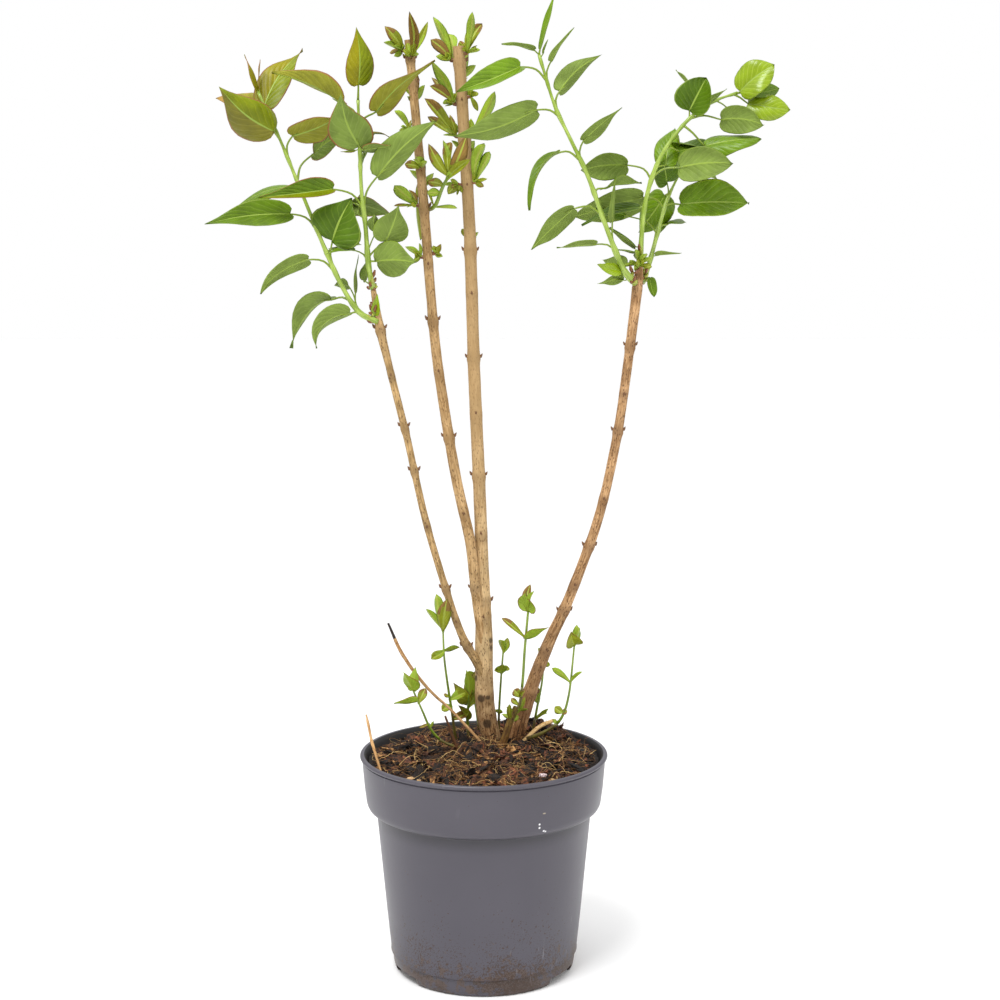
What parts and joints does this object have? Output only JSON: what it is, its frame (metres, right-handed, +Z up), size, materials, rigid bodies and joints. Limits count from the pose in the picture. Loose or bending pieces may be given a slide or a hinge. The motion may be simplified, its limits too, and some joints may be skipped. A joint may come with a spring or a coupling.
{
  "type": "potted lilac",
  "caption": "Young multi-stemmed lilac in a round plastic nursery pot of bark compost, with tall woody canes, leafy shoots near the top and small suckers at the foot.",
  "frame": {"origin": "centre of the pot's flat underside, on the pot's axis", "axes": "+Z up along the pot's axis; -Y is the front, and +X is to the right as seen from the front"},
  "size_m": [0.5128, 0.23, 0.8843],
  "materials": {
    "pot_plastic": "satin grey moulded polypropylene",
    "bark_compost": "rough loose bark compost",
    "cane_bark": "rough tan bark",
    "dead_wood": "dry weathered wood",
    "leaf": "soft green leaf",
    "young_leaf": "soft young leaf, tinged bronze"
  },
  "bodies": {
    "root": {"pot": "pot_plastic", "compost": "bark_compost", "main_stem": "cane_bark", "left_centre_cane": "cane_bark", "left_cane": "cane_bark", "right_cane": "cane_bark", "dead_twig": "dead_wood", "rim_twig": "dead_wood", "brown_stub": "dead_wood", "cut_stub": "dead_wood", "small_stub": "dead_wood", "left_outer_shoot": "leaf", "left_upright_shoot": "leaf", "right_left_shoot": "leaf", "right_middle_shoot": "leaf", "right_outer_shoot": "leaf", "main_stem_cluster_1": "young_leaf", "main_stem_cluster_2": "young_leaf", "main_stem_cluster_3": "young_leaf", "main_stem_cluster_4": "young_leaf", "main_stem_cluster_5": "young_leaf", "main_stem_cluster_6": "young_leaf", "main_stem_cluster_7": "young_leaf", "main_stem_cluster_8": "young_leaf", "main_stem_cluster_9": "young_leaf", "main_stem_cluster_10": "young_leaf", "main_stem_cluster_11": "young_leaf", "left_centre_cane_cluster_1": "young_leaf", "left_centre_cane_cluster_2": "young_leaf", "left_centre_cane_cluster_3": "young_leaf", "left_centre_cane_cluster_4": "young_leaf", "left_centre_cane_cluster_5": "young_leaf", "left_centre_cane_cluster_6": "young_leaf", "left_centre_cane_cluster_7": "young_leaf", "left_centre_cane_cluster_8": "young_leaf", "left_centre_cane_cluster_9": "young_leaf", "cane_sprig": "young_leaf", "sucker_1": "young_leaf", "sucker_2": "young_leaf", "sucker_3": "young_leaf", "sucker_4": "young_leaf", "sucker_5": "young_leaf", "sucker_6": "young_leaf", "sucker_7": "young_leaf", "sucker_8": "young_leaf"}
  },
  "joints": []
}
